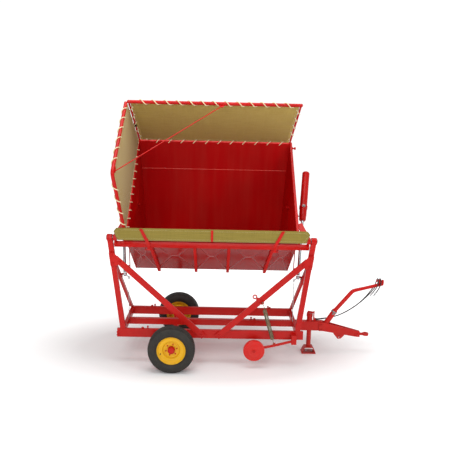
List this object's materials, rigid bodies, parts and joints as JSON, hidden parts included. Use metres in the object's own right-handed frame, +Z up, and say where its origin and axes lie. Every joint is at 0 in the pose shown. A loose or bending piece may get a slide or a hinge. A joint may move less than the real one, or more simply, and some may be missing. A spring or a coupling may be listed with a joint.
{
  "type": "high-lift tipping grain cart",
  "caption": "Two-wheel farm cart with a tapered hopper bin that tips sideways over high end frames, laced canvas extensions, lift cylinders, drawbar, jack and hose mast.",
  "frame": {"origin": "on the ground under the middle of the jack's foot, in the cart's middle plane", "axes": "+X forward along the drawbar, +Y away from the side the bin tips over, +Z up"},
  "size_m": [5.0055, 2.415, 4.5367],
  "materials": {
    "red_paint": "gloss",
    "yellow_paint": "gloss",
    "tyre": "matte",
    "canvas": "matte",
    "lip_cloth": "matte",
    "hose_rubber": "satin",
    "zinc": "satin",
    "bolt_steel": "satin",
    "chrome_rod": "polished"
  },
  "bodies": {
    "root": {"near_rail": "red_paint", "far_rail": "red_paint", "centre_beam": "red_paint", "end_cross_rear": "red_paint", "end_cross_front": "red_paint", "axle_beam": "red_paint", "post_rear": "red_paint", "post_front": "red_paint", "strut_rear": "red_paint", "strut_front": "red_paint", "brace_rear": "red_paint", "brace_front": "red_paint", "frame_gussets": "red_paint", "pivot_pins": "bolt_steel", "spring_eye_plate": "red_paint", "drawbar_beam": "red_paint", "drawbar_bars": "red_paint", "hitch_eye": "red_paint", "mast_socket": "red_paint", "hose_mast": "red_paint", "hose_saddle": "red_paint", "jack_sleeve": "red_paint", "hose_pressure": "hose_rubber", "hose_return": "hose_rubber", "hose_couplings": "zinc", "arm_bracket": "red_paint", "bolt_set": "bolt_steel"},
    "bin": {"near_wall": "red_paint", "bin_floor": "red_paint", "far_wall": "red_paint", "end_wall_rear": "red_paint", "end_wall_front": "red_paint", "rim_far": "red_paint", "rim_rear": "red_paint", "rim_front": "red_paint", "wall_ribs": "red_paint", "pivot_beam": "red_paint", "far_ext_frame": "red_paint", "rear_ext_frame": "red_paint", "far_canvas": "canvas", "rear_canvas": "canvas", "stay_rod": "red_paint"},
    "lip": {"lip_board": "lip_cloth", "lip_straps": "red_paint"},
    "near_wheel": {"near_rim": "yellow_paint", "near_tyre": "tyre", "near_hub": "red_paint"},
    "far_wheel": {"far_rim": "yellow_paint", "far_tyre": "tyre", "far_hub": "red_paint"},
    "disc_arm": {"disc_arm": "red_paint", "arm_spring": "zinc"},
    "disc_wheel": {"disc_wheel": "red_paint"},
    "jack_leg": {"jack_leg": "red_paint"},
    "jack_crank": {"jack_crank": "red_paint"},
    "lift_rod_rear": {"lift_rod_rear": "chrome_rod"},
    "lift_rod_front": {"lift_rod_front": "chrome_rod"},
    "barrel_rear": {"barrel_rear": "red_paint"},
    "barrel_front": {"barrel_front": "red_paint"}
  },
  "joints": [
    {"name": "bin_tip", "type": "hinge", "parent": "root", "child": "bin", "pos_m": [-1.82, -0.605, 2.24], "axis": [1, 0, 0], "range_deg": [-39.5, 33.5]},
    {"name": "lip_fold", "type": "hinge", "parent": "bin", "child": "lip", "pos_m": [-1.82, -0.58188, 2.03881], "axis": [1, 0, 0], "range_deg": [0, 55]},
    {"name": "near_wheel_spin", "type": "hinge", "parent": "root", "child": "near_wheel", "pos_m": [-2.47, -0.955, 0.4], "axis": [0, 1, 0], "continuous": true},
    {"name": "far_wheel_spin", "type": "hinge", "parent": "root", "child": "far_wheel", "pos_m": [-2.47, 0.955, 0.4], "axis": [0, 1, 0], "continuous": true},
    {"name": "disc_arm_swing", "type": "hinge", "parent": "root", "child": "disc_arm", "pos_m": [-0.37, -0.712, 0.49], "axis": [0, 1, 0], "range_deg": [-8, 12], "stiffness_Nm_per_rad": 4000, "springref_deg": 3.44, "deforming": ["arm_spring"]},
    {"name": "disc_spin", "type": "hinge", "parent": "disc_arm", "child": "disc_wheel", "pos_m": [-1.06, -0.761, 0.322], "axis": [0, 1, 0], "continuous": true},
    {"name": "jack_slide", "type": "slide", "parent": "root", "child": "jack_leg", "axis": [0, 0, 1], "range_m": [0, 0.14]},
    {"name": "jack_crank_turn", "type": "hinge", "parent": "root", "child": "jack_crank", "pos_m": [-0.028, 0, 0.776], "axis": [0, 0, 1], "range_deg": [0, 2520]},
    {"name": "lift_swing_rear", "type": "hinge", "parent": "root", "child": "lift_rod_rear", "pos_m": [-3.36669, -0.185, 1.49], "axis": [0.9906, 0.1318, 0.0375], "range_deg": [-36, 29]},
    {"name": "lift_stroke_rear", "type": "slide", "parent": "lift_rod_rear", "child": "barrel_rear", "axis": [-0.1081, 0.5837, 0.8048], "range_m": [-0.6, 0.5]},
    {"name": "lift_swing_front", "type": "hinge", "parent": "root", "child": "lift_rod_front", "pos_m": [-0.27331, -0.185, 1.49], "axis": [0.9906, -0.1318, -0.0375], "range_deg": [-36, 29]},
    {"name": "lift_stroke_front", "type": "slide", "parent": "lift_rod_front", "child": "barrel_front", "axis": [0.1081, 0.5837, 0.8048], "range_m": [-0.6, 0.5]}
  ],
  "couplings": [
    {"joint": "jack_crank_turn", "follows": "jack_slide", "rad_per_m": 314.16},
    {"joint": "lift_swing_rear", "follows": "bin_tip", "ratio": 0.82},
    {"joint": "lift_stroke_rear", "follows": "bin_tip", "m_per_rad": 0.78},
    {"joint": "lift_swing_front", "follows": "bin_tip", "ratio": 0.82},
    {"joint": "lift_stroke_front", "follows": "bin_tip", "m_per_rad": 0.78}
  ]
}
